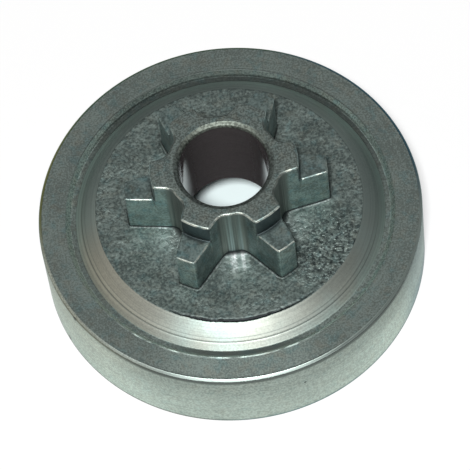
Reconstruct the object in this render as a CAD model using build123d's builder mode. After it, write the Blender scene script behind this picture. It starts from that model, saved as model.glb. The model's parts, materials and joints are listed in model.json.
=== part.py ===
"""Chainsaw clutch drum: a steel cup with an integral six-tooth spur sprocket.

The origin is the centre of the open rim's plane. +Z runs along the bore, towards the sprocket's top face.
All sizes are millimetres.
"""
import math
import os

from build123d import *

# Cup
outer_diameter = 69.0
wall_thickness = 3.0
rim_height = 15.4
web_thickness = 3.2
web_corner_radius = 1.5
rim_edge_break = 0.5
mouth_chamfer = 0.6

# Turned face: land, groove and cone, from the outer edge inwards
land_edge_chamfer = 0.6
land_width = 4.35
land_drop = 0.45
groove_depth = 1.2
groove_shoulder = 0.75
groove_width = 0.65
cone_width = 4.15
floor_rise = 2.4

# Sprocket: long lower teeth, and short stubs above them round the hub
tooth_count = 6
tip_diameter = 36.2
tip_width = 3.66
tip_corner_radius = 0.35
flank_angle = 10.2
root_diameter = 20.4
root_fillet = 1.4
tooth_height = 9.5
stub_diameter = 26.3
stub_height = 4.3
stub_edge_radius = 0.5

# Hub
bore_diameter = 16.0
bore_chamfer_width = 1.1
bore_chamfer_depth = 0.8
bore_lower_chamfer = 0.5
boss_diameter = 23.0
boss_projection = 2.0
dish_inset = 2.0

# Radii of the turned face
outer_radius = outer_diameter / 2
friction_radius = outer_radius - wall_thickness
land_outer_radius = outer_radius - land_edge_chamfer
land_inner_radius = land_outer_radius - land_width
groove_outer_radius = land_inner_radius - groove_shoulder
cone_foot_radius = groove_outer_radius - groove_width
floor_radius = cone_foot_radius - cone_width

# Heights above the open rim
land_z = rim_height
groove_z = land_z - groove_depth
floor_z = land_z + floor_rise
step_z = floor_z + tooth_height
hub_top_z = step_z + stub_height
web_inner_z = land_z - web_thickness
dish_z = floor_z - web_thickness
boss_z = dish_z - boss_projection

# Sprocket outline
root_radius = root_diameter / 2
tip_radius = tip_diameter / 2
stub_radius = stub_diameter / 2
tooth_base_half_width = tip_width / 2 + tip_radius * math.tan(math.radians(flank_angle))
bore_radius = bore_diameter / 2


def at_radius(radius):
    """Test for a vertex or an edge whose points lie at this distance from the Z axis."""
    def test(shape):
        return all(abs(math.hypot(v.X, v.Y) - radius) < 0.01 for v in shape.vertices())
    return test


# One tooth along +X, with straight flanks that narrow outwards
with BuildSketch() as tooth:
    with BuildLine():
        Polyline(
            (0, -tooth_base_half_width),
            (tip_radius, -tip_width / 2),
            (tip_radius, tip_width / 2),
            (0, tooth_base_half_width),
            close=True,
        )
    make_face()

# Whole outline: root circle, teeth turned to the tip circle, round gullets and tip corners
with BuildSketch() as sprocket_outline:
    with PolarLocations(0, tooth_count):
        add(tooth.sketch)
    Circle(tip_radius, mode=Mode.INTERSECT)
    Circle(root_radius)
    fillet(sprocket_outline.vertices().filter_by(at_radius(root_radius)), root_fillet)
    fillet(sprocket_outline.vertices().filter_by(at_radius(tip_radius)), tip_corner_radius)

with BuildPart() as clutch_drum:
    # Cup: half section turned round the bore axis
    with BuildSketch(Plane.XZ):
        with BuildLine():
            Polyline(
                (0, boss_z),
                (boss_diameter / 2, boss_z),
                (boss_diameter / 2, dish_z),
                (floor_radius - dish_inset, dish_z),
                (cone_foot_radius - dish_inset, web_inner_z),
                (friction_radius, web_inner_z),
                (friction_radius, mouth_chamfer),
                (friction_radius + mouth_chamfer, 0),
                (outer_radius - rim_edge_break, 0),
                (outer_radius, rim_edge_break),
                (outer_radius, land_z - land_edge_chamfer),
                (land_outer_radius, land_z),
                (land_inner_radius, land_z - land_drop),
                (groove_outer_radius, groove_z),
                (cone_foot_radius, groove_z),
                (floor_radius, floor_z),
                (0, floor_z),
                close=True,
            )
        make_face()
    revolve(axis=Axis.Z)
    web_corner = clutch_drum.edges().filter_by(GeomType.CIRCLE).filter_by(at_radius(friction_radius))
    fillet(web_corner.sort_by(Axis.Z)[-1], web_corner_radius)

    # Long teeth up to the step, and stubs of the same outline round the hub above it
    with BuildSketch(Plane.XY.offset(floor_z)):
        add(sprocket_outline.sketch)
    extrude(amount=tooth_height)
    with BuildSketch(Plane.XY.offset(step_z)):
        add(sprocket_outline.sketch)
        Circle(stub_radius, mode=Mode.INTERSECT)
    extrude(amount=stub_height)
    stub_edges = clutch_drum.edges().group_by(Axis.Z)[-1].filter_by(at_radius(stub_radius))
    fillet(stub_edges, stub_edge_radius)

    # Bore for the needle cage, with a wide lead-in at the sprocket end
    with Locations((0, 0, hub_top_z)):
        CounterSinkHole(
            bore_radius,
            bore_radius + bore_chamfer_width,
            counter_sink_angle=2 * math.degrees(math.atan2(bore_chamfer_width, bore_chamfer_depth)),
        )
    bore_edges = clutch_drum.edges().filter_by(GeomType.CIRCLE).filter_by(at_radius(bore_radius))
    chamfer(bore_edges.sort_by(Axis.Z)[0], bore_lower_chamfer)

clutch_drum.part.label = "clutch_drum"
os.makedirs("parts", exist_ok=True)
export_step(clutch_drum.part, "parts/clutch_drum.step")
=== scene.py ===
"""Looks of a chainsaw clutch drum: its surface, steel finishes, pale stage, lamps and camera.

Sizes are millimetres unless a name says otherwise. Meshes, lamps and the camera are placed in metres.
"""
import json
import math

import bpy
import numpy as np
from mathutils import Matrix, Vector


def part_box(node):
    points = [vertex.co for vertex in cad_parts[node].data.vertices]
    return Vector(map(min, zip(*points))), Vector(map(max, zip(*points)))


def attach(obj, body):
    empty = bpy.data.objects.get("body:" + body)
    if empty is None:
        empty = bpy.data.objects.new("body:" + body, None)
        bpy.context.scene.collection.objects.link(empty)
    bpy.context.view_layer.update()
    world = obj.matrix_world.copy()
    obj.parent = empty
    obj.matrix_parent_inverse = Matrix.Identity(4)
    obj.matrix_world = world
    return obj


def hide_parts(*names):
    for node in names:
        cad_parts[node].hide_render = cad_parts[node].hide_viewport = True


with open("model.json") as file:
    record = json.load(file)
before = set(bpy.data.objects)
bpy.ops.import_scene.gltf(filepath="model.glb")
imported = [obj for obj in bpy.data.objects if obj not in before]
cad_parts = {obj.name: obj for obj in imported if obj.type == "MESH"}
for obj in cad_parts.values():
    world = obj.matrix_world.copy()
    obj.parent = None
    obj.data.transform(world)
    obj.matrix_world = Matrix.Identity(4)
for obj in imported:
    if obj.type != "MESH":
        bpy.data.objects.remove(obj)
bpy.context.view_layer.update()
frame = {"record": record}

MM = 0.001
NODE = "clutch_drum"
PIECE = "clutch_drum_surface"

# Sizes read from the frame
mounts = {mount["name"]: mount for mount in frame["record"]["mounts"]}
node_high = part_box(NODE)[1]
outer_radius = node_high.x / MM
hub_top = node_high.z / MM
bore_radius = mounts["bore"]["dims"]["r_mm"]
friction_radius = mounts["friction_bore"]["dims"]["r_mm"]

# Turned face, from the outer edge inwards
rim_height = 15.4
bevel_width = 0.5
bevel_depth = 0.42
land_inner_radius = 29.62
land_drop = 0.1
burr_width = 0.26
burr_height = 0.09
groove_outer_radius = 28.8
cone_foot_radius = 27.87
groove_depth = 1.2
floor_radius = 24.0
floor_rise = 2.4
scribed_line_radius = 26.7
faint_line_radius = 26.12
scribed_line_width = 0.3
scribed_line_depth = 0.03

# Underside
web_thickness = 3.2
web_corner = 1.5
dish_outer_radius = 26.15
dish_inset = 2.0
boss_radius = 11.5
boss_projection = 2.0
rim_edge_break = 0.2
mouth_chamfer = 0.6
bore_lower_chamfer = 0.5

# Sprocket
teeth = 6
tip_radius = 18.1
tip_width = 3.66
flank_slope = math.tan(math.radians(10.2))
root_radius = 10.2
stub_radius = 13.15
stub_height = 4.3
bore_chamfer_width = 0.92
bore_chamfer_depth = 0.67
bore_mouth_bulge = (0.26, 0.32)
bore_mouth_brink = 0.06

# Heights
land_z = rim_height
groove_z = land_z - groove_depth
floor_z = land_z + floor_rise
step_z = hub_top - stub_height
web_inner_z = land_z - web_thickness
dish_z = floor_z - web_thickness
boss_z = dish_z - boss_projection
cone_slope = (floor_z - groove_z) / (cone_foot_radius - floor_radius)

# Edge rounds and fillets of the sprocket, and the reach of its outline's rounded corners
stub_edge_round = 0.38
stub_foot_fillet = 0.25
tooth_edge_round = 0.26
tooth_base_fillet = 0.35
gullet_base_fillet = 1.2
tip_corner_reach = 0.8
stub_corner_reach = 0.7
gullet_reach = 1.6

# Dirt and painted shade on the sprocket, as shares of full cover, and the share spared on front-facing flanks
# as painted light
stub_front_grime_and_shade = 0.88
flank_grime_and_shade = 0.33
lit_flank_share = 0.85

# Cast skin of the floor: heights, and the shortest and longest wave of each kind of relief
swell_height = 0.04
swell_lengths = (4.0, 9.0)
pebble_height = 0.008
rough_pebble_height = 0.032
pebble_lengths = (1.1, 2.4)
patch_lengths = (8.0, 16.0)
rough_patch_centre = (17.0, -12.5)
rough_patch_reach = 7.0
lip_collar_width = 1.2
lip_dip_depth = 0.34
lip_dip_inset = 0.38
lip_dip_reach = 0.26
lip_shade_inset = 0.55
lip_shade_reach = 0.45
lip_jag_lengths = (2.5, 7.0)
lip_notch_lengths = (0.6, 1.4)
burr_lengths = (1.2, 6.0)

# Nicks in the outer wall: place and reach
wall_nicks = (
    ((-29.9, -17.2, 14.7), 0.7), ((-31.7, -13.5, 1.2), 0.7), ((9.0, -33.3, 9.5), 0.35),
)

# Fineness of the surface: points to a tooth, points to an arc, and rows of rings
samples_per_tooth = 98
arc_steps = 6
turned_arc_steps = 4
face_rows = 5
stub_wall_rows = 4
step_rows = 5
tooth_wall_rows = 6
floor_rows = 25
lip_rows = 10
cast_seed = 11

# Colours of what lies on the steel or tints it, and of painted light and shade.
# A pair goes from dark to light, the hem's from left to right.
cone_shade = (0.04, 0.062, 0.068, 1.0)
brown_film = (0.12, 0.095, 0.07, 1.0)
olive_shade = (0.24, 0.26, 0.12, 1.0)
green_shade = (0.14, 0.21, 0.15, 1.0)
blue_shade = (0.09, 0.17, 0.21, 1.0)
olive_line = (0.16, 0.17, 0.11, 1.0)
olive_edge = ((0.25, 0.26, 0.20, 1.0), (0.36, 0.36, 0.29, 1.0))
cool_wall = ((0.29, 0.40, 0.41, 1.0), (0.42, 0.55, 0.56, 1.0))
wall_hem = ((0.12, 0.15, 0.13, 1.0), (0.07, 0.2, 0.2, 1.0))
cast_skin = ((0.118, 0.150, 0.142, 1.0), (0.285, 0.348, 0.324, 1.0))
oiled_bore = ((0.118, 0.106, 0.108, 1.0), (0.14, 0.126, 0.128, 1.0))
pit_shadow = (0.03, 0.04, 0.042, 1.0)
floor_grime_and_shade = (0.03, 0.035, 0.037, 1.0)
tooth_grime_and_shade = (0.036, 0.047, 0.052, 1.0)
link_rub = (0.50, 0.60, 0.575, 1.0)
front_gullet_gleam = (0.95, 1.0, 1.0, 1.0)
gullet_glint_colour = (0.42, 0.54, 0.54, 1.0)
foot_gleam = (0.85, 0.95, 0.95, 1.0)
edge_gleam = (0.92, 0.95, 0.84, 1.0)
warm_blotch = (1.0, 0.89, 0.83, 1.0)
cool_blotch = (0.76, 0.94, 1.0, 1.0)
blotch_shift = (40.0, 7.0, 3.0)

# Stage: reach and gap under the drum in metres, and its colour in the open and under the drum
stage_reach = 3.0
stage_sides = 96
stage_gap = 0.00005
stage_colour = (0.95, 0.95, 0.95, 1.0)
stage_colour_under = (0.84, 0.96, 0.96, 1.0)
stage_white_share = 0.6
surroundings_level = 0.1

# Camera: sensor and lens, the point that it looks at, its distance from there, and its angles in degrees
sensor_width = 36.0
lens_length = 294.9
camera_target = (0.295, -5.215, land_z)
camera_distance = 687.34
camera_elevation = 60.62
camera_roll = -7.91


# Shapes

def soft_min(first, second, reach):
    """Lower of two lengths; where they differ by less than reach, a parabola rounds the corner."""
    near = np.maximum(reach - np.abs(first - second), 0.0) / reach
    return np.minimum(first, second) - near**2 * reach / 4


def soft_max(first, second, reach):
    """Higher of two lengths, with the corner rounded in the same way."""
    return -soft_min(-first, -second, reach)


def smooth_step(value, low, high):
    """0 below low and 1 above high, with an even S between them: 3 t squared less 2 t cubed."""
    share = np.clip((value - low) / (high - low), 0.0, 1.0)
    return share**2 * (3 - 2 * share)


def flank_radius(angle):
    """Distance from the axis to a tooth's flank, along a ray at this angle from the tooth's centre line."""
    base = tip_width / 2 + tip_radius * flank_slope
    return base / (np.sin(np.abs(angle)) + np.cos(angle) * flank_slope)


def flank_angle_at(radius):
    """Angle from a tooth's centre line at which its flank is this far from the axis, by interpolation."""
    angles = np.linspace(0.0, math.pi / teeth, 2000)
    return float(np.interp(-radius, -flank_radius(angles), angles))


def sector_angles():
    """Angles across one tooth's sector: equal shares of a density that peaks at the tooth's corners."""
    half = math.pi / teeth
    fine = np.linspace(-half, half, 6001)
    density = np.full_like(fine, 1.0)
    corners = ((tip_radius, 5.0), (stub_radius, 4.0), (root_radius, 1.5))
    for radius, weight in corners:
        away = (np.abs(fine) - flank_angle_at(radius)) / math.radians(1.4)
        density += weight * np.exp(-away**2)
    share = np.cumsum(density)
    share = (share - share[0]) / (share[-1] - share[0])
    steps = np.linspace(0.0, 1.0, samples_per_tooth, endpoint=False)
    return np.interp(steps, share, fine)


sector = sector_angles()
turn = (np.arange(teeth)[:, None] * 2 * math.pi / teeth + sector).ravel()
from_tooth = np.tile(sector, teeth)
ray = np.stack([np.cos(turn), np.sin(turn)], axis=-1)
around = len(turn)


def tooth_outline(cut_radius, corner_reach):
    """Distance from the axis all round: flanks cut off at a circle, and never less than the root circle."""
    cut = soft_min(flank_radius(from_tooth), cut_radius, corner_reach)
    return soft_max(cut, root_radius, gullet_reach)


def outward(outline):
    """Unit normals in the plane of a polar outline: its tangent turned by a quarter."""
    closed_turn = np.concatenate([turn[-1:] - 2 * math.pi, turn, turn[:1] + 2 * math.pi])
    closed = np.concatenate([outline[-1:], outline, outline[:1]])
    rise = np.gradient(closed, closed_turn)[1:-1]
    x = rise * ray[:, 1] + outline * ray[:, 0]
    y = -rise * ray[:, 0] + outline * ray[:, 1]
    return np.stack([x, y], axis=-1) / np.hypot(x, y)[:, None]


def ring(outline, height):
    """One ring of points: an outline in polar form, at one height or at a height for each point."""
    flat = ray * np.broadcast_to(outline, turn.shape)[:, None]
    return np.column_stack([flat, np.broadcast_to(height, turn.shape)])


def between(first, last, count):
    """Rings that go in a straight line from one ring to another, without the first."""
    share = np.arange(1, count + 1) / count
    return first + share[:, None, None] * (last - first)


def moved_out(outline, normals, offset):
    """Plane points of an outline moved out along its normals; offset is a table of rings by points."""
    return ray * outline[:, None] + offset[..., None] * normals


def rings_of(flat, height):
    """Rings from tables of plane points and of heights."""
    return np.concatenate([flat, np.broadcast_to(height, flat.shape[:-1])[..., None]], axis=-1)


def rounded_profile(corners, steps):
    """Points along a section whose corners are arcs, and for each point its corner's number and share of arc.

    Each corner starts with (radius, height, round). The arc leaves the straight at round * tan(turn / 2)
    from the corner, and its points turn evenly about the arc's centre.
    """
    points = np.array([corner[:2] for corner in corners], float)
    rounds = np.array([corner[2] for corner in corners], float)
    parts = [points[:1]]
    for before, here, after, radius in zip(points, points[1:], points[2:], rounds[1:]):
        arrive = (here - before) / np.linalg.norm(here - before)
        leave = (after - here) / np.linalg.norm(after - here)
        bend = math.acos(np.clip(arrive @ leave, -1.0, 1.0))
        back = radius * math.tan(bend / 2)
        side = leave - (leave @ arrive) * arrive
        centre = here - arrive * back + side / np.linalg.norm(side) * radius
        swing = np.linspace(0.0, bend, steps)[:, None]
        foot = here - arrive * back - centre
        parts.append(centre + foot * np.cos(swing) + arrive * radius * np.sin(swing))
    parts.append(points[-1:])
    owner = np.concatenate([np.full(len(part), number) for number, part in enumerate(parts)])
    share = np.concatenate([np.linspace(0.0, 1.0, len(part)) for part in parts])
    return np.concatenate(parts), owner, share


def waves(points, wavelengths, count, seed):
    """Random relief: a sum of cosine waves in all directions, scaled to a spread of about one."""
    draw = np.random.default_rng(seed)
    direction = draw.normal(size=(count, 3))
    direction /= np.linalg.norm(direction, axis=1)[:, None]
    length = np.exp(draw.uniform(*np.log(wavelengths), size=count))
    phase = draw.uniform(0.0, 2 * math.pi, size=count)
    swing = points @ (2 * math.pi * direction / length[:, None]).T
    return np.cos(swing + phase).sum(axis=-1) * math.sqrt(2 / count)


def cast_relief(points):
    """Height of the cast skin: shallow swells, with finer waves that make pebbles in patches.

    The pebbles are low over most of the floor, and highest in one patch at the right front.
    """
    swells = swell_height * waves(points, swell_lengths, 24, cast_seed)
    pebbles = waves(points, pebble_lengths, 64, cast_seed + 1)
    patches = smooth_step(waves(points, patch_lengths, 16, cast_seed + 2), 0.2, 1.8)
    away = np.hypot(points[..., 0] - rough_patch_centre[0], points[..., 1] - rough_patch_centre[1])
    rough = np.maximum(0.6 * patches, np.exp(-((away / rough_patch_reach) ** 2)))
    return swells + (pebble_height + rough_pebble_height * rough) * pebbles


def block(rings, finish, edge=0.0, grime=0.0):
    """Rings of one surface with its finish, how much each point is a worn or glinting edge, and how much dirt
    and painted shade it holds.
    """
    table = rings.shape[:2]
    return {
        "rings": rings, "finish": [finish] * len(rings),
        "edge": np.broadcast_to(edge, table), "grime": np.broadcast_to(grime, table),
    }


def sprocket_blocks():
    """Surfaces from the hub's top face over the stubs, the step and the long teeth to the foot of the teeth.

    On a tooth the rings follow the step. In a gullet, where stub and tooth have the same outline, the same
    rings are spread evenly down the plain wall. Where a tooth begins, its heights are mixed with those.
    """
    stub = tooth_outline(stub_radius, stub_corner_reach)
    tooth = tooth_outline(tip_radius, tip_corner_reach)
    stub_normals = outward(stub)
    tooth_normals = outward(tooth)
    on_step = smooth_step(tooth - stub, 0.04, 0.44)
    gullet = smooth_step(np.abs(from_tooth), math.radians(15), math.radians(25))
    base_fillet = tooth_base_fillet + (gullet_base_fillet - tooth_base_fillet) * gullet
    swing = np.linspace(0.0, math.pi / 2, arc_steps)[:, None] * np.ones(around)
    crest = np.sin(2 * swing)
    # Edge values: a little wear on every edge, and a painted glint on edges that face the front, less towards
    # the back and the far sides
    near_side = 1 - 0.75 * smooth_step(tooth * ray[:, 1], 2.0, 8.0)
    near_side = near_side * (1 - 0.4 * smooth_step(np.abs(tooth * ray[:, 0]), 10.5, 12.5))
    stub_wear_and_glint = crest[1:] * near_side * (0.12 + 0.88 * smooth_step(-stub_normals[:, 1], 0.0, 0.6))
    stub_wear_and_glint = stub_wear_and_glint * (1 - 0.55 * gullet)
    tooth_wear_and_glint = crest[1:] * near_side * (0.12 + 0.88 * smooth_step(-tooth_normals[:, 1], 0.0, 0.6))

    mouth = ring(bore_radius + bore_chamfer_width, hub_top)
    stub_edge = rings_of(
        moved_out(stub, stub_normals, stub_edge_round * (np.sin(swing) - 1)),
        hub_top - stub_edge_round * (1 - np.cos(swing)),
    )
    brink = ring(bore_radius + bore_chamfer_width + bore_mouth_brink, hub_top)
    face = between(brink, stub_edge[0], face_rows)

    wall_top = hub_top - stub_edge_round
    stub_wall_z = np.linspace(wall_top, step_z + stub_foot_fillet, stub_wall_rows + 1)[1:, None]
    tooth_wall_z = np.linspace(step_z - tooth_edge_round, floor_z + base_fillet, tooth_wall_rows + 1)[1:]
    foot = moved_out(stub, stub_normals, on_step * stub_foot_fillet * (1 - np.cos(swing)))[1:]
    edge = moved_out(tooth, tooth_normals, on_step * tooth_edge_round * (np.sin(swing) - 1))
    flats = [
        np.tile(ray * stub[:, None], (stub_wall_rows, 1, 1)), foot,
        between(foot[-1], edge[0], step_rows), edge[1:],
        np.tile(ray * tooth[:, None], (tooth_wall_rows, 1, 1)),
    ]
    heights = [
        stub_wall_z, step_z + stub_foot_fillet * (1 - np.sin(swing[1:, :1])),
        np.full((step_rows, 1), step_z), step_z - tooth_edge_round * (1 - np.cos(swing[1:, :1])),
        tooth_wall_z,
    ]
    flat = np.concatenate(flats)
    height = np.concatenate([np.broadcast_to(rows, (len(rows), around)) for rows in heights])
    share = np.arange(1, len(flat) + 1)[:, None] / len(flat)
    plain = wall_top + share * (floor_z + base_fillet - wall_top)
    wall = rings_of(flat, on_step * height + (1 - on_step) * plain)

    on_stub = smooth_step(stub, stub_radius - 0.5, stub_radius - 0.1)
    on_tip = smooth_step(tooth, tip_radius - 0.6, tip_radius - 0.15)
    on_flank = (1 - on_tip) * smooth_step(tooth, root_radius + 0.4, root_radius + 1.6)
    on_flank = on_flank * (1 - lit_flank_share * smooth_step(-tooth_normals[:, 1], 0.7, 0.95))
    rows_above_edge = stub_wall_rows + len(foot) + step_rows
    wall_edge = np.concatenate([
        np.zeros((rows_above_edge, around)), tooth_wear_and_glint * on_step, np.zeros((tooth_wall_rows, around)),
    ])
    on_stub = on_stub * on_step
    # Painted shade on the stubs, strongest on faces that face the front, and on the flanks, less on flanks
    # that face the front
    stub_front = stub_front_grime_and_shade * (0.4 + 0.6 * smooth_step(-stub_normals[:, 1], 0.2, 0.7))
    stub_grime_and_shade = stub_front * on_stub + flank_grime_and_shade * on_flank * (1 - on_stub)
    edge_fade = np.linspace(0.0, 1.0, arc_steps)[1:, None] ** 3
    on_wall = flank_grime_and_shade * on_flank
    # Painted shade also fills the corner between each stub's foot fillet and the step
    wall_grime_and_shade = np.concatenate([
        np.tile(stub_grime_and_shade, (stub_wall_rows, 1)), np.maximum(0.8 * on_step * crest[1:], stub_grime_and_shade),
        np.tile(on_wall * (1 - on_step), (step_rows, 1)),
        on_wall * (1 - on_step * (1 - edge_fade)), np.tile(on_wall, (tooth_wall_rows, 1)),
    ])
    # A painted glint on the lower part of the base fillets that face the front
    on_foot = (1 - on_tip) * smooth_step(tooth, root_radius + 1.0, root_radius + 2.2)
    foot_glint = np.linspace(0.0, 1.0, arc_steps)[1:, None] ** 4 * on_foot
    foot_glint = foot_glint * smooth_step(-tooth_normals[:, 1], 0.2, 0.6)
    base = rings_of(
        moved_out(tooth, tooth_normals, base_fillet * (1 - np.cos(swing))),
        floor_z + base_fillet * (1 - np.sin(swing)),
    )[1:]
    # Painted contact shadow on the base fillets, darkest next to the tooth and fading out onto the floor
    base_shade = np.maximum(
        np.linspace(0.9, 0.3, len(base))[:, None] * on_tip,
        np.linspace(1.0, 0.0, len(base))[:, None] ** 0.6 * (1 - on_tip),
    )
    return [
        block(np.stack([mouth, brink]), "hub_face"), block(face, "hub_face"),
        block(stub_edge[1:], "sprocket", stub_wear_and_glint, edge_fade * stub_grime_and_shade),
        block(wall, "sprocket", wall_edge, wall_grime_and_shade),
        block(base, "cast_floor", foot_glint, base_shade),
    ]


def floor_block(inner):
    """The cast floor: level rings from the teeth to the lip, lifted by the cast relief.

    The skin dips in a bell-shaped trough just inside the lip, deepest at the front and uneven all round. The
    lip itself is the relief cut off by the turned cone, so it moves along the cone's slope as it rises.
    Painted shade darkens the floor at the foot of the teeth, in the trough and in a strip inside the lip at
    the front.
    """
    lip = ring(floor_radius, floor_z)
    collar = ring(floor_radius - lip_collar_width, floor_z)
    rings = np.concatenate([between(inner, collar, floor_rows), between(collar, lip, lip_rows)])
    inside = floor_radius - np.hypot(rings[..., 0], rings[..., 1])
    jag = 0.05 * waves(lip, lip_jag_lengths, 20, cast_seed + 3)
    jag = jag + 0.11 * waves(lip, lip_notch_lengths, 30, cast_seed + 4)
    front = smooth_step(-ray[:, 1], 0.80, 0.96) * (1 - 0.35 * smooth_step(ray[:, 0], 0.1, 0.3))
    from_dip = (inside - lip_dip_inset - 0.6 * jag) / lip_dip_reach
    trough = front * np.clip(1.0 + jag, 0.7, 1.3) * np.exp(-(from_dip**2))
    lip_shade = front * np.exp(-(((inside - lip_shade_inset) / lip_shade_reach) ** 2))
    step = np.arange(1, len(rings) + 1)[:, None]
    calm = 1 - 0.7 * np.exp(-inside / 0.6) * (1 - front)
    rings[..., 2] += np.minimum(step / 4, 1.0) * calm * cast_relief(rings) - lip_dip_depth * trough
    rise = rings[-1, :, 2] - floor_z
    rings[-1] = ring(floor_radius - rise / cone_slope, floor_z + rise)
    # Painted shade at the foot of the teeth, in the trough and in a strip inside the lip at the front
    grime = np.minimum(0.6 * np.exp(-step / 1.5) + 1.1 * trough + 0.45 * lip_shade, 1.0)
    return block(rings, "cast_floor", 0.0, grime)


def turned_block(lip):
    """All turned surfaces as one section carried round the axis, from the lip to the bore's upper edge.

    Each corner gives its radius, height and round, the finish of what follows it, and how worn its arc is.
    A burr is raised along the land's inner edge at the front: waves of different length make it uneven. It
    gets a painted highlight, and the land's inner edge at the back gets painted shade.
    """
    line_z = floor_z - (scribed_line_radius - floor_radius) * cone_slope
    half_line = scribed_line_width / 2
    land_inner_z = land_z - land_drop
    corners = [
        (floor_radius, floor_z, 0.0, "turned_cone", 0.0),
        (scribed_line_radius - half_line, line_z + half_line * cone_slope, 0.05, "turned_cone", 0.0),
        (scribed_line_radius, line_z - scribed_line_depth, 0.05, "turned_cone", 0.0),
        (scribed_line_radius + half_line, line_z - half_line * cone_slope, 0.05, "turned_cone", 0.0),
        (cone_foot_radius, groove_z, 0.2, "groove", 0.0),
        (groove_outer_radius, groove_z, 0.2, "groove_shoulder", 0.0),
        (land_inner_radius, land_inner_z, 0.1, "land", 1.0),
        (land_inner_radius + burr_width, land_inner_z + 0.01, 0.05, "land", 0.0),
        (outer_radius - bevel_width, land_z, 0.15, "rim_bevel", 0.0),
        (outer_radius, land_z - bevel_depth, 0.3, "outer_wall", 0.0),
        (outer_radius, rim_edge_break, 0.1, "rim_edge", 0.0),
        (outer_radius - rim_edge_break, 0.0, 0.1, "rim_edge", 0.0),
        (friction_radius + mouth_chamfer, 0.0, 0.15, "friction_wall", 1.0),
        (friction_radius, mouth_chamfer, 0.15, "friction_wall", 1.0),
        (friction_radius, web_inner_z, web_corner, "web_inside", 0.0),
        (dish_outer_radius, web_inner_z, 0.8, "web_inside", 0.0),
        (floor_radius - dish_inset, dish_z, 0.8, "web_inside", 0.0),
        (boss_radius, dish_z, 0.6, "web_inside", 0.0),
        (boss_radius, boss_z, 0.3, "hub_face", 1.0),
        (bore_radius + bore_lower_chamfer, boss_z, 0.1, "bore", 1.0),
        (bore_radius, boss_z + bore_lower_chamfer, 0.1, "bore", 0.0),
        (bore_radius, hub_top - bore_chamfer_depth, 0.15, "bore_chamfer", 0.0),
        (bore_radius + bore_mouth_bulge[0], hub_top - bore_mouth_bulge[1], 0.35, "bore_chamfer", 0.0),
        (bore_radius + bore_chamfer_width, hub_top, 0.0, "bore_chamfer", 0.0),
    ]
    profile, owner, share = rounded_profile(corners, turned_arc_steps)
    rings = np.stack([ring(radius, height) for radius, height in profile])
    rings[0] = lip
    edge = np.array([corner[4] for corner in corners])[owner] * np.sin(math.pi * share)
    edge = edge[:, None] * np.ones(around)
    uneven = 0.5 + 0.3 * waves(ring(land_inner_radius, 0.0), burr_lengths, 40, cast_seed + 5)
    burr = np.clip(uneven, 0.0, 1.0) * smooth_step(-ray[:, 1] - 0.25 * ray[:, 0], 0.70, 0.98)
    crest = owner == [corner[0] for corner in corners].index(land_inner_radius)
    rings[crest, :, 2] += burr_height * burr * np.minimum(0.4 + 2 * share[crest], 1.0)[:, None]
    # Painted highlight on the burr; painted shade on the land's inner edge at the back
    edge[crest] = burr
    grime = np.zeros_like(edge)
    grime[crest] = 0.7 * smooth_step(ray[:, 1], 0.2, 0.7)
    finish = [corners[number][3] for number in owner]
    return {
        "rings": rings[:-1], "finish": finish[:-1], "edge": edge[:-1], "grime": grime[:-1],
    }


def area_normals(points, quads):
    """Normals at the points: the sum of the faces' normals, each as long as its face is large.

    A face's normal is half the cross product of its diagonals. Wide faces then stay flat up to their edges.
    """
    corner = points[quads]
    face = np.cross(corner[:, 2] - corner[:, 0], corner[:, 3] - corner[:, 1])
    total = np.stack(
        [np.bincount(quads.ravel(), np.repeat(face[:, axis], 4), len(points)) for axis in range(3)], axis=-1
    )
    return total / np.linalg.norm(total, axis=1)[:, None]


def closed_grid(name, rings):
    """Mesh of quads over a table of rings that joins up both round the axis and along the section."""
    count = len(rings)
    index = np.arange(count * around).reshape(count, around)
    below = np.roll(index, -1, axis=0)
    quads = np.stack(
        [index, below, np.roll(below, -1, axis=1), np.roll(index, -1, axis=1)], axis=-1
    ).reshape(-1, 4)
    mesh = bpy.data.meshes.new(name)
    mesh.from_pydata((rings.reshape(-1, 3) * MM).tolist(), [], quads.tolist())
    mesh.polygons.foreach_set("use_smooth", np.ones(len(quads), bool))
    mesh.update()
    mesh.normals_split_custom_set_from_vertices(area_normals(rings.reshape(-1, 3), quads).tolist())
    return mesh


def build_drum(finishes):
    """The whole drum as one closed surface, with a finish for the faces that follow each ring."""
    blocks = sprocket_blocks()
    blocks.append(floor_block(blocks[-1]["rings"][-1]))
    lip = blocks[-1]["rings"][-1]
    for key in ("rings", "finish", "edge", "grime"):
        blocks[-1][key] = blocks[-1][key][:-1]
    blocks.append(turned_block(lip))
    mesh = closed_grid(PIECE, np.concatenate([part["rings"] for part in blocks]))
    for key in ("edge", "grime"):
        values = np.concatenate([part[key] for part in blocks]).astype(np.float32)
        mesh.attributes.new(key, "FLOAT", "POINT").data.foreach_set("value", values.ravel())
    names = sum([part["finish"] for part in blocks], [])
    order = list(finishes)
    numbers = np.repeat([order.index(name) for name in names], around)
    for finish in finishes.values():
        mesh.materials.append(finish.material)
    mesh.polygons.foreach_set("material_index", numbers.astype(np.int32))
    drum = bpy.data.objects.new(PIECE, mesh)
    bpy.context.scene.collection.objects.link(drum)
    return drum


# Finishes

class Wire:
    """A socket of a finish on which Python arithmetic works: every operator adds one Math node."""

    def __init__(self, finish, socket):
        self.finish = finish
        self.socket = socket

    def other(self, output):
        """Another output of the same node."""
        return Wire(self.finish, self.socket.node.outputs[output])

    def __add__(self, term):
        return self.finish.maths("ADD", self, term)

    def __radd__(self, term):
        return self.finish.maths("ADD", term, self)

    def __sub__(self, term):
        return self.finish.maths("SUBTRACT", self, term)

    def __rsub__(self, term):
        return self.finish.maths("SUBTRACT", term, self)

    def __mul__(self, term):
        return self.finish.maths("MULTIPLY", self, term)

    def __rmul__(self, term):
        return self.finish.maths("MULTIPLY", term, self)

    def __truediv__(self, term):
        return self.finish.maths("DIVIDE", self, term)

    def __rtruediv__(self, term):
        return self.finish.maths("DIVIDE", term, self)


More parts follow.
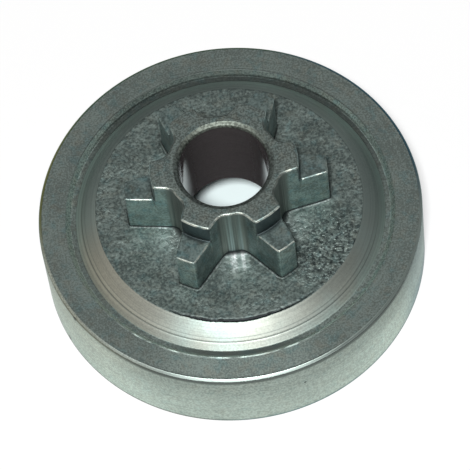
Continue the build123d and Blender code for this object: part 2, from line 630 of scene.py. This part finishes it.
class Finish:
    """A material whose nodes are made from Python expressions. Lengths in it are millimetres."""

    def __init__(self, name):
        self.material = bpy.data.materials.new(name)
        self.material.use_nodes = True
        self.tree = self.material.node_tree
        self.shader = self.tree.nodes["Principled BSDF"]
        metres = self.node("TexCoord", "Object")
        self.place = self.node(
            "VectorMath", "Vector", {"operation": "SCALE"}, {"Vector": metres, "Scale": 1 / MM}
        )
        self.x = self.node("SeparateXYZ", "X", {}, {"Vector": self.place})
        self.y = self.x.other("Y")
        self.z = self.x.other("Z")
        self.radius = self.maths("SQRT", self.x * self.x + self.y * self.y)

    def feed(self, socket, value):
        """Links a wire to a socket, or sets a plain value on it."""
        if isinstance(value, Wire):
            self.tree.links.new(value.socket, socket)
        else:
            socket.default_value = value

    def node(self, kind, output, settings=None, sockets=None):
        """Any node: its type, its settings, which are set first, and the values or links of its sockets."""
        made = self.tree.nodes.new("ShaderNode" + kind)
        for name, value in (settings or {}).items():
            setattr(made, name, value)
        for name, value in (sockets or {}).items():
            self.feed(made.inputs[name], value)
        return Wire(self, made.outputs[output])

    def maths(self, operation, *terms):
        """A Math node."""
        return self.node("Math", 0, {"operation": operation}, dict(enumerate(terms)))

    def vector(self, x, y, z):
        """A vector from three values."""
        return self.node("CombineXYZ", 0, {}, {"X": x, "Y": y, "Z": z})

    def ramp(self, value, low, high):
        """0 below low and 1 above high, with an even S between them."""
        return self.node(
            "MapRange", 0, {"interpolation_type": "SMOOTHSTEP"},
            {"Value": value, "From Min": low, "From Max": high},
        )

    def blend(self, share, first, second):
        """A colour between two colours."""
        return self.node("Mix", 2, {"data_type": "RGBA"}, {0: share, 6: first, 7: second})

    def mark(self, name):
        """One of the mesh's own point values."""
        return self.node("Attribute", "Fac", {"attribute_name": name})

    def grain(self, per_mm, detail=2.0, vector=None):
        """Noise with about this many grains to a millimetre."""
        place = self.place if vector is None else vector
        return self.node("TexNoise", 0, {}, {"Vector": place, "Scale": per_mm, "Detail": detail})

    def lathe_lines(self, per_mm, around_axis):
        """Noise drawn out along the cut: fine across it, in radius less height, and slow round the axis."""
        slow_x = self.x / self.radius * around_axis
        slow_y = self.y / self.radius * around_axis
        return self.grain(1.0, vector=self.vector(slow_x, slow_y, (self.radius - self.z) * per_mm))

    def streaks(self, per_turn, per_mm):
        """Noise drawn out along the axis: fine round the axis and slow in height and radius."""
        fast_x = self.x / self.radius * per_turn
        fast_y = self.y / self.radius * per_turn
        return self.grain(1.0, vector=self.vector(fast_x, fast_y, (self.radius + self.z) * per_mm))

    def towards(self, degrees, low, high):
        """A mask on one side of the drum: 0 is the right, 90 the back, 180 the left and 270 the front.

        Low and high are cosines of the angle from that direction at which the mask begins and is full.
        """
        angle = math.radians(degrees)
        facing = (self.x * math.cos(angle) + self.y * math.sin(angle)) / self.radius
        return self.ramp(facing, low, high)

    def gullets(self, low, high):
        """A mask on the six gullets, where the cosine of six times the angle round the axis is least.

        With c its cosine, that of the doubled angle is d, 2 c squared less 1, and that of three times as much
        is d (4 d squared less 3).
        """
        across = self.x / self.radius
        double = 2 * across * across - 1
        return self.ramp(double * (4 * double * double - 3), low, high)

    def front_gullet_glints(self):
        """Two strips of painted highlight, at two distances across the front gullet, on the front side only.
        """
        wide = self.ramp(self.maths("ABSOLUTE", self.x + 0.5), 0.8, 0.15)
        thin = self.ramp(self.maths("ABSOLUTE", self.x - 1.2), 0.5, 0.1)
        return self.maths("MAXIMUM", wide, thin) * self.towards(270, 0.94, 0.98)

    def near(self, point, reach):
        """A mask round one point."""
        away = self.node("VectorMath", "Value", {"operation": "DISTANCE"}, {0: self.place, 1: point})
        return self.ramp(away, reach, 0.4 * reach)

    def tint(self, colour, amount):
        """Warmer and cooler blotches over a colour, as oil and heat leave on steel."""
        warm = self.ramp(self.grain(0.45, 3.0), 0.5, 0.72) * amount
        elsewhere = self.node("VectorMath", "Vector", {"operation": "ADD"}, {0: self.place, 1: blotch_shift})
        cool = self.ramp(self.grain(0.62, 3.0, elsewhere), 0.5, 0.72) * amount
        for share, blotch in ((warm, warm_blotch), (cool, cool_blotch)):
            colour = self.node(
                "Mix", 2, {"data_type": "RGBA", "blend_type": "MULTIPLY"}, {0: share, 6: colour, 7: blotch}
            )
        return colour

    def dress(self, colour, roughness, metallic, relief, anisotropic=0.0, grazing=1.0):
        """Wires the shader: colour, roughness, metallic and a relief in millimetres; the rest is constant.

        The brushed direction is turned by a quarter, so that the lobe is wide across the lathe lines. Grazing
        is the brightness of the steel near grazing angles, where 1 is a clean polish.
        """
        sockets = self.shader.inputs
        self.feed(sockets["Base Color"], colour)
        self.feed(sockets["Roughness"], roughness)
        self.feed(sockets["Metallic"], metallic)
        normal = self.node("Bump", 0, {}, {"Strength": 1.0, "Distance": MM, "Height": relief})
        self.feed(sockets["Normal"], normal)
        if anisotropic:
            sockets["Anisotropic"].default_value = anisotropic
            sockets["Anisotropic Rotation"].default_value = 0.25
        sockets["Specular Tint"].default_value = (grazing, grazing, grazing, 1.0)


def steel(level, warm=0.0, olive=0.0):
    """Colour of steel at a brightness, slightly green. Warm adds tarnish, or blue below 0. Olive cuts blue.

    The colour is linear, with full cover as its fourth value.
    """
    red = 0.84 + 0.2 * warm
    green = 1.0 - 0.02 * warm
    blue = 0.93 - 0.1 * warm - 0.08 * olive
    return (level * red, level * green, level * blue, 1.0)


def satin(level):
    """Colour of the outer wall's steel at a brightness."""
    return steel(level, 0.05, 0.35)


def cone_finish():
    """Bright turned steel: fine lathe lines over broader bands, tarnished in random blotches, with a warm
    painted reflection at the left and painted shade away from the front.
    """
    made = Finish("turned_cone")
    fine = made.lathe_lines(6.0, 0.5)
    broad = made.lathe_lines(1.5, 0.4)
    speck = made.grain(3.0, 3.0)
    tone = made.ramp(0.35 * fine + 0.25 * broad + 0.4 * speck, 0.36, 0.64)
    plain = made.blend(tone, steel(0.70), steel(0.96))
    warm = made.blend(tone, steel(0.59, 0.65), steel(0.82, 0.65))
    # Random tarnished blotches, and a warm painted reflection on the left side
    tarnish = made.ramp(made.grain(0.1), 0.40, 0.60) * made.towards(262, -0.2, 0.7) * 0.7
    tarnish = made.maths("MAXIMUM", tarnish, made.towards(212, 0.8, 0.98))
    colour = made.blend(tarnish, plain, warm)
    # Painted shade away from the front, strongest at the back, lighter at the foot except at the right
    foot = made.ramp(made.radius, 26.0, 27.6)
    away = 1 - made.towards(260, -0.35, 0.93)
    overlay = 0.56 - 0.1 * made.towards(52, 0.8, 0.97) + 0.5 * (speck - 0.5)
    overlay = overlay - 0.16 * foot * (1 - 0.8 * made.towards(14, 0.75, 0.95))
    colour = made.blend(away * overlay, colour, cone_shade)
    # Painted shade at the front right, on the upper cone away from the front, and at the foot on the left
    colour = made.blend(made.towards(308, 0.85, 0.98) * 0.15, colour, steel(0.1))
    brow = made.ramp(made.radius, 26.3, 24.9) * (1 - made.towards(270, 0.8, 0.97))
    colour = made.blend(brow * (0.22 + 0.14 * made.towards(90, 0.2, 0.8)), colour, steel(0.13))
    low_left = foot * made.towards(222, 0.8, 0.97)
    colour = made.blend(low_left * 0.22, colour, steel(0.1, 0.65))
    for line_radius, depth in ((scribed_line_radius, 0.6), (faint_line_radius, 0.4)):
        line = made.ramp(made.maths("ABSOLUTE", made.radius - line_radius), 0.13, 0.03)
        colour = made.blend(line * depth * made.towards(255, -0.3, 0.3), colour, steel(0.25))
    rough = 0.5 + 0.1 * (fine - 0.5)
    made.dress(colour, rough, 1.0, 0.005 * fine + 0.004 * broad + 0.004 * speck, grazing=0.6)
    return made


def groove_finish():
    """Dull steel left by the grooving tool, with painted shade: darker at the left and the front, darkest at
    the back.
    """
    made = Finish("groove")
    grain = made.grain(3.2, 3.0)
    tone = made.ramp(0.75 * grain + 0.25 * made.lathe_lines(5.0, 2.0), 0.40, 0.60)
    colour = made.blend(tone, steel(0.22), steel(0.38))
    # Painted shade at the left, the front and the back
    colour = made.blend(made.towards(203, 0.8, 0.97) * 0.35, colour, steel(0.13))
    colour = made.blend(made.towards(266, 0.87, 0.985), colour, steel(0.16))
    colour = made.blend(made.towards(80, 0.0, 0.7), colour, made.blend(tone, steel(0.12), steel(0.17)))
    made.dress(made.tint(colour, 0.6), 0.55, 1.0, 0.012 * grain)
    return made


def shoulder_finish():
    """Slope between the groove and the land: as clean as the land at the sides, with painted shade at front
    and back.
    """
    made = Finish("groove_shoulder")
    grain = made.grain(3.2, 3.0)
    tone = made.ramp(0.8 * grain + 0.2 * made.lathe_lines(5.0, 1.5), 0.40, 0.60)
    colour = made.blend(tone, steel(0.29), steel(0.54))
    # Painted shade at the front and the back, darkest low down at the back
    colour = made.blend(made.towards(268, 0.82, 0.98), colour, steel(0.26))
    back_shade_tone = made.blend(tone, steel(0.12), steel(0.25))
    colour = made.blend(made.towards(88, 0.6, 0.9), colour, back_shade_tone)
    colour = made.blend(made.towards(90, 0.92, 0.995) * 0.45, colour, steel(0.08))
    low = made.ramp(made.radius, 29.14, 28.98) * made.towards(86, 0.3, 0.85)
    colour = made.blend(low * 0.95, colour, made.blend(tone, steel(0.045), steel(0.08)))
    made.dress(made.tint(colour, 0.6), 0.58, 1.0, 0.012 * grain)
    return made


def land_finish():
    """Smooth dark face of the rim: fine grain and faint lathe lines, lighter at the front as painted light,
    with a painted highlight on the burr in front.
    """
    made = Finish("land")
    fine = made.grain(3.2, 3.0)
    lines = made.lathe_lines(3.0, 1.0)
    cloud = made.grain(0.16)
    tone = made.ramp(0.65 * fine + 0.15 * lines + 0.2 * cloud, 0.40, 0.60)
    # Painted light: the land is lighter towards the front
    front = made.towards(268, 0.82, 1.0)
    dull = made.blend(front, steel(0.25), steel(0.38))
    bright = made.blend(front, steel(0.40), steel(0.59))
    colour = made.tint(made.blend(tone, dull, bright), 0.6)
    # Painted shade: a dark line along the outer edge at the front
    brim = made.ramp(made.radius, outer_radius - bevel_width - 0.35, outer_radius - bevel_width - 0.1)
    colour = made.blend(brim * made.towards(268, 0.8, 0.95) * 0.8, colour, steel(0.1))
    # Painted shade on the inner edge at the back, and a painted highlight on the burr in front
    colour = made.blend(made.mark("grime"), colour, steel(0.06))
    colour = made.blend(made.mark("edge"), colour, steel(0.85))
    made.dress(colour, 0.55 + 0.12 * (fine - 0.5), 1.0, 0.012 * fine + 0.006 * lines)
    return made


def bevel_finish():
    """Narrow turned bevel round the land: painted highlight at the front, olive-edged and lighter with
    painted light at the left, tinted painted shade at the back and the right.
    """
    made = Finish("rim_bevel")
    lines = made.lathe_lines(5.0, 1.5)
    grain = made.ramp(made.grain(3.2, 3.0), 0.4, 0.6)
    # Painted highlight: brighter at the front
    front = made.towards(268, 0.85, 0.97)
    low = made.blend(front, steel(0.46), steel(0.72))
    high = made.blend(front, steel(0.60), steel(0.90))
    colour = made.blend(made.ramp(lines, 0.35, 0.65), low, high)
    left = made.towards(206, 0.74, 0.94)
    inner = made.ramp(made.radius, outer_radius - 0.1, outer_radius - 0.2)
    olive = made.blend(grain, *olive_edge)
    lit = made.towards(240, 0.88, 0.97)
    pale_low = made.blend(lit, steel(0.52, 0.2), steel(0.76, 0.2))
    pale_high = made.blend(lit, steel(0.74, 0.2), steel(0.98, 0.2))
    colour = made.blend(left, colour, made.blend(inner, olive, made.blend(grain, pale_low, pale_high)))
    # Painted shade, tinted olive at the back left, green at the back and blue at the right
    colour = made.blend(made.towards(155, 0.82, 0.97), colour, olive_shade)
    colour = made.blend(made.towards(100, 0.55, 0.9), colour, green_shade)
    colour = made.blend(made.towards(32, 0.72, 0.95), colour, blue_shade)
    made.dress(colour, 0.42 + 0.1 * (lines - 0.5), 1.0, 0.006 * lines + 0.003 * grain, grazing=0.3)
    return made


def rim_edge_finish():
    """Broken edge and face of the open rim: dull dark steel with turning lines."""
    made = Finish("rim_edge")
    lines = made.lathe_lines(4.0, 1.5)
    tone = made.ramp(0.6 * lines + 0.4 * made.grain(1.5), 0.36, 0.64)
    colour = made.blend(tone, steel(0.10), steel(0.2))
    made.dress(colour, 0.5 + 0.1 * (lines - 0.5), 1.0, 0.01 * lines, grazing=0.3)
    return made


def wall_finish():
    """Satin outer wall: mottled grain over faint turning lines, paler towards the open rim, with nicks.

    Painted light makes it lighter at the left; painted shade makes it cooler and darker at the right and
    darker along both of its edges. Low down it is darker at the front than at the sides.
    """
    made = Finish("outer_wall")
    fine = made.grain(2.6, 4.0)
    lines = made.lathe_lines(3.0, 1.5)
    broad = made.lathe_lines(0.9, 0.4)
    cloud = made.grain(0.2, 3.0)
    tone = made.ramp(0.65 * fine + 0.15 * lines + 0.1 * broad + 0.1 * cloud, 0.40, 0.60)
    low_down = made.ramp(made.z, 15.5, 4.0)
    front = made.towards(272, 0.7, 1.0)
    low_dull = made.blend(front, satin(0.56), satin(0.41))
    low_bright = made.blend(front, satin(0.81), satin(0.60))
    dull = made.blend(low_down, satin(0.30), low_dull)
    bright = made.blend(low_down, satin(0.47), low_bright)
    colour = made.tint(made.blend(tone, dull, bright), 0.2)
    # Painted light on the left side
    left = made.towards(206, 0.88, 0.99) * made.ramp(made.z, 1.0, 6.0) * made.ramp(made.z, 15.2, 11.5)
    left_brow = made.towards(214, 0.88, 0.98) * made.ramp(made.z, 9.0, 13.0)
    pale = made.blend(tone, steel(0.62, 0.3, 0.5), steel(0.90, 0.3, 0.5))
    colour = made.blend(0.4 * left + 0.36 * left_brow, colour, pale)
    # Painted shade, cool, on the right side, strongest low down
    shaded = made.towards(352, 0.86, 0.98) * (0.4 + 0.5 * made.ramp(made.z, 6.0, 1.0))
    colour = made.blend(shaded, colour, made.blend(tone, *cool_wall))
    streak = made.ramp(made.lathe_lines(2.5, 8.0), 0.42, 0.32)
    colour = made.blend(streak * 0.25, colour, steel(0.2))
    # Painted shade: a dark olive line at the top on the left, a dark strip under the bevel at the front, and
    # a dark strip along the foot
    rim_line = made.ramp(made.z, 14.5, 14.8) * made.towards(222, 0.85, 0.97)
    colour = made.blend(rim_line * 0.6, colour, olive_line)
    band = made.ramp(made.z, 13.9, 14.5) * made.towards(280, 0.45, 0.8)
    colour = made.blend(band * 0.85, colour, steel(0.13))
    hem = made.blend(made.towards(310, 0.5, 0.9), *wall_hem)
    colour = made.blend(made.ramp(made.z, 0.75, 0.3) * 0.85, colour, hem)
    nicks = [made.near(point, reach) for point, reach in wall_nicks]
    nick = sum(nicks[1:], nicks[0])
    colour = made.blend(made.ramp(nick, 0.0, 1.0) * 0.8, colour, steel(0.08))
    relief = 0.012 * fine + 0.006 * lines + 0.006 * broad - 0.12 * nick
    made.dress(colour, 0.42 + 0.12 * (fine - 0.5), 1.0, relief, anisotropic=0.2, grazing=0.45)
    return made


def friction_finish():
    """Inner wall rubbed by the clutch shoes: bright rings with darker bands between them."""
    made = Finish("friction_wall")
    fine = made.lathe_lines(5.0, 1.2)
    bands = made.lathe_lines(0.7, 0.5)
    tone = made.ramp(0.5 * fine + 0.5 * bands, 0.34, 0.66)
    colour = made.blend(tone, steel(0.26), steel(0.56))
    colour = made.blend(made.mark("edge") * 0.7, colour, steel(0.66))
    made.dress(colour, 0.33 + 0.16 * (fine - 0.5), 1.0, 0.015 * fine, anisotropic=0.45)
    return made


def web_finish():
    """Inside of the cup: dark turned steel with a brown film of oil and dust in patches."""
    made = Finish("web_inside")
    fine = made.lathe_lines(2.2, 1.0)
    cloud = made.grain(0.18, 4.0)
    tone = made.ramp(0.6 * fine + 0.4 * cloud, 0.36, 0.64)
    colour = made.blend(tone, steel(0.18), steel(0.34))
    overlay = made.ramp(cloud, 0.5, 0.7) * 0.5
    colour = made.blend(overlay, colour, brown_film)
    made.dress(colour, 0.48 + 0.3 * (cloud - 0.5), 0.9, 0.02 * fine)
    return made


def cast_finish():
    """Cast skin: grainy dark steel, pebbled in patches with a few bright points, with dirt and painted
    shade at the teeth and the lip.

    In each gullet the chain's links have rubbed the floor paler in ripples. The front gullet also has two
    strips of painted highlight, and the feet of teeth that face the front a painted glint.
    """
    made = Finish("cast_floor")
    coarse = made.grain(2.1, 3.0)
    fine = made.grain(4.6, 2.0)
    cloud = made.grain(0.16, 2.0)
    patch_place = (rough_patch_centre[0], rough_patch_centre[1], floor_z)
    patch = made.maths("MAXIMUM", made.near(patch_place, 11.0), 0.5 * made.ramp(cloud, 0.5, 0.7))
    tone = made.ramp(0.55 * coarse + 0.2 * fine + 0.25 * cloud, 0.38, 0.62)
    colour = made.tint(made.blend(tone, *cast_skin), 0.55)
    pit = made.ramp(made.grain(1.3, 3.0), 0.50, 0.40) * patch
    colour = made.blend(pit * 0.75, colour, pit_shadow)
    spark = made.ramp(made.grain(1.9, 2.0), 0.62, 0.72) * (0.1 + 0.5 * patch)
    colour = made.blend(spark, colour, steel(0.95))
    ripple = made.ramp(made.grain(0.9, 3.0), 0.42, 0.58)
    rubbed = made.gullets(0.2, -0.7) * made.ramp(made.radius, 17.0, 12.5)
    colour = made.blend(rubbed * (0.15 + 0.4 * ripple), colour, link_rub)
    # Painted highlight: two near-white strips in the front gullet
    gleam = made.front_gullet_glints() * made.ramp(made.radius, 15.0, 12.0) * (0.5 + 0.5 * ripple)
    colour = made.blend(gleam * 0.9, colour, front_gullet_gleam)
    colour = made.blend(made.mark("grime"), colour, floor_grime_and_shade)
    # Painted glint along the feet of teeth that face the front
    glint_and_wear = made.mark("edge") * made.ramp(made.grain(1.1, 3.0), 0.5, 0.64)
    glint_and_wear = glint_and_wear * (1 - 0.6 * made.towards(270, 0.75, 0.95)) * (1 - 0.6 * made.towards(352, 0.9, 0.98))
    colour = made.blend(glint_and_wear * 0.9, colour, foot_gleam)
    rough = 0.58 - 0.2 * spark + 0.1 * (coarse - 0.5)
    relief = (0.06 + 0.12 * patch) * coarse + 0.02 * fine + 0.05 * rubbed * ripple
    made.dress(colour, rough, 0.95, relief)
    return made


def sprocket_finish():
    """Smooth dark teeth: worn edges with a painted glint where they face the front, streaked down the
    gullets, painted highlight streaks down the front gullet, dirt and painted shade in the corners.
    """
    made = Finish("sprocket")
    fine = made.grain(2.8, 3.0)
    cloud = made.grain(0.5, 3.0)
    tone = made.ramp(0.6 * fine + 0.4 * cloud, 0.36, 0.64)
    colour = made.tint(made.blend(tone, steel(0.23, -0.3), steel(0.46, -0.3)), 0.8)
    gullet = made.ramp(made.radius, 11.6, 10.7)
    colour = made.blend(gullet, colour, steel(0.17))
    streaks = made.ramp(made.streaks(34.0, 0.03), 0.42, 0.62)
    low_down = made.ramp(made.z, hub_top, floor_z + 1.5)
    colour = made.blend(gullet * streaks * (0.15 + 0.25 * low_down), colour, steel(0.40, 0.3))
    # Painted highlight streaks on the wall of the front gullet
    gullet_glints = made.front_gullet_glints() * (0.25 + 0.5 * streaks) * (0.3 + 0.7 * low_down)
    colour = made.blend(gullet * gullet_glints, colour, gullet_glint_colour)
    colour = made.blend(made.mark("grime"), colour, tooth_grime_and_shade)
    # Worn edges with a painted glint where they face the front; at the right tooth it is broken into dots
    glint_and_wear = made.mark("edge") * made.ramp(made.grain(0.7, 3.0), 0.36, 0.62)
    glint_and_wear = glint_and_wear * (1 - made.towards(0, 0.85, 0.97) * made.ramp(made.grain(0.9), 0.58, 0.48))
    colour = made.blend(glint_and_wear * 0.9, colour, edge_gleam)
    rough = 0.50 + 0.12 * (fine - 0.5) - 0.14 * glint_and_wear
    made.dress(colour, rough, 1.0, 0.025 * fine + 0.03 * gullet * streaks, grazing=0.5)
    return made


def hub_finish():
    """Flat faces of the hub and boss: dark and finely ground."""
    made = Finish("hub_face")
    fine = made.grain(3.0, 3.0)
    lines = made.lathe_lines(3.5, 1.5)
    tone = made.ramp(0.75 * fine + 0.25 * lines, 0.40, 0.60)
    colour = made.tint(made.blend(tone, steel(0.205), steel(0.395)), 0.6)
    colour = made.blend(made.mark("edge") * 0.5, colour, steel(0.6))
    made.dress(colour, 0.55 + 0.12 * (fine - 0.5), 1.0, 0.012 * fine)
    return made


def bore_finish():
    """Ground bore: dark, with fine lines round it and a film of oil that makes it warmer."""
    made = Finish("bore")
    fine = made.lathe_lines(4.0, 2.0)
    speck = made.grain(3.0, 3.0)
    tone = made.ramp(0.4 * fine + 0.6 * speck, 0.38, 0.62)
    colour = made.blend(tone, *oiled_bore)
    made.dress(colour, 0.09 + 0.06 * (speck - 0.5), 0.45, 0.002 * fine)
    return made


def bore_mouth_finish():
    """Rounded mouth of the bore: dark and fine, darker and yellowed at the back."""
    made = Finish("bore_chamfer")
    fine = made.lathe_lines(4.0, 2.0)
    speck = made.grain(2.4, 3.0)
    tone = made.ramp(0.3 * fine + 0.7 * speck, 0.38, 0.62)
    plain = made.blend(tone, steel(0.14), steel(0.32))
    yellowed = made.blend(tone, steel(0.09, 0.2, 0.6), steel(0.24, 0.2, 0.6))
    colour = made.blend(made.towards(95, 0.1, 0.8), plain, yellowed)
    made.dress(colour, 0.55 + 0.06 * (speck - 0.5), 1.0, 0.004 * fine)
    return made


def build_finishes():
    """All finishes by name."""
    made = [
        cone_finish(), groove_finish(), shoulder_finish(), land_finish(), bevel_finish(), wall_finish(),
        rim_edge_finish(), friction_finish(), web_finish(), cast_finish(), sprocket_finish(), hub_finish(),
        bore_finish(), bore_mouth_finish(),
    ]
    return {finish.material.name: finish for finish in made}


# Stage

def stage_finish():
    """Pale matt floor that is partly plain white where it is seen directly or in the steel.

    Under the drum there is no such share, so that the bore and the cup show only what the lamps light.
    """
    made = Finish("pale_floor")
    under = made.ramp(made.radius, outer_radius - 4.0, outer_radius - 8.0)
    made.feed(made.shader.inputs["Base Color"], made.blend(under, stage_colour, stage_colour_under))
    made.shader.inputs["Roughness"].default_value = 0.9
    made.shader.inputs["Specular IOR Level"].default_value = 0.0
    camera = made.node("LightPath", "Is Camera Ray")
    seen = made.maths("MAXIMUM", camera, camera.other("Is Glossy Ray"))
    seen = made.maths("MAXIMUM", seen, camera.other("Is Transmission Ray"))
    outside = made.ramp(made.radius, outer_radius - 1.0, outer_radius)
    white = made.node("Emission", 0, {}, {"Color": (1.0, 1.0, 1.0, 1.0), "Strength": 1.0})
    plain = Wire(made, made.shader.outputs[0])
    mixed = made.node("MixShader", 0, {}, {0: seen * outside * stage_white_share, 1: plain, 2: white})
    made.tree.links.new(mixed.socket, made.tree.nodes["Material Output"].inputs["Surface"])
    return made.material


def build_stage():
    """A pale round floor at the foot of the drum."""
    rim = np.linspace(0, 2 * math.pi, stage_sides, endpoint=False)
    depth = np.full(stage_sides, -stage_gap)
    points = np.column_stack([stage_reach * np.cos(rim), stage_reach * np.sin(rim), depth])
    mesh = bpy.data.meshes.new("floor")
    mesh.from_pydata(points.tolist(), [], [list(range(stage_sides))])
    mesh.materials.append(stage_finish())
    floor = bpy.data.objects.new("floor", mesh)
    bpy.context.scene.collection.objects.link(floor)


def aim(thing, eye, target, roll=0.0):
    """Puts a camera or lamp at eye, looking at target, turned by roll about its line of sight."""
    back = (Vector(eye) - Vector(target)).normalized()
    right = Vector((0, 0, 1)).cross(back).normalized()
    up = back.cross(right)
    turned = Matrix((right, up, back)).transposed() @ Matrix.Rotation(roll, 3, "Z")
    thing.matrix_world = Matrix.Translation(eye) @ turned.to_4x4()


def build_camera():
    """Camera at the photograph's viewing angle."""
    data = bpy.data.cameras.new("camera")
    data.sensor_width = sensor_width
    data.lens = lens_length
    camera = bpy.data.objects.new("camera", data)
    bpy.context.scene.collection.objects.link(camera)
    target = Vector(camera_target) * MM
    elevation = math.radians(camera_elevation)
    back = Vector((0.0, -math.cos(elevation), math.sin(elevation)))
    aim(camera, target + back * camera_distance * MM, target, math.radians(camera_roll))
    bpy.context.scene.camera = camera


def build_lamp(name, azimuth, elevation, distance, size, level, colour=(1.0, 1.0, 1.0)):
    """A square lamp in a direction from the drum, azimuth 0 being the camera's side and 90 the right.

    Level is what it adds to a white sheet that faces it: its power is level * (pi * distance) squared.
    """
    data = bpy.data.lights.new(name, "AREA")
    data.shape = "SQUARE"
    data.size = size
    data.energy = level * (math.pi * distance) ** 2
    data.color = colour
    lamp = bpy.data.objects.new(name, data)
    bpy.context.scene.collection.objects.link(lamp)
    side = math.radians(azimuth)
    rise = math.radians(elevation)
    across = Vector((math.sin(side), -math.cos(side), 0.0)) * math.cos(rise)
    eye = (across + Vector((0.0, 0.0, math.sin(rise)))) * distance
    aim(lamp, eye, (0.0, 0.0, 0.0))


def build_world(level):
    """Dim even surroundings."""
    world = bpy.data.worlds.new("surroundings")
    world.use_nodes = True
    world.node_tree.nodes["Background"].inputs["Color"].default_value = (level, level, level, 1.0)
    bpy.context.scene.world = world


drum = build_drum(build_finishes())
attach(drum, "root")
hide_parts(NODE)
build_stage()
build_camera()
build_lamp("key_lamp", azimuth=-7.5, elevation=62.7, distance=1.6, size=0.18, level=1.09)
build_lamp(
    "left_lamp", azimuth=-95.0, elevation=22.0, distance=1.5, size=0.8, level=0.04, colour=(1.0, 0.84, 0.66)
)
build_world(surroundings_level)
bpy.context.scene.view_settings.view_transform = "Standard"
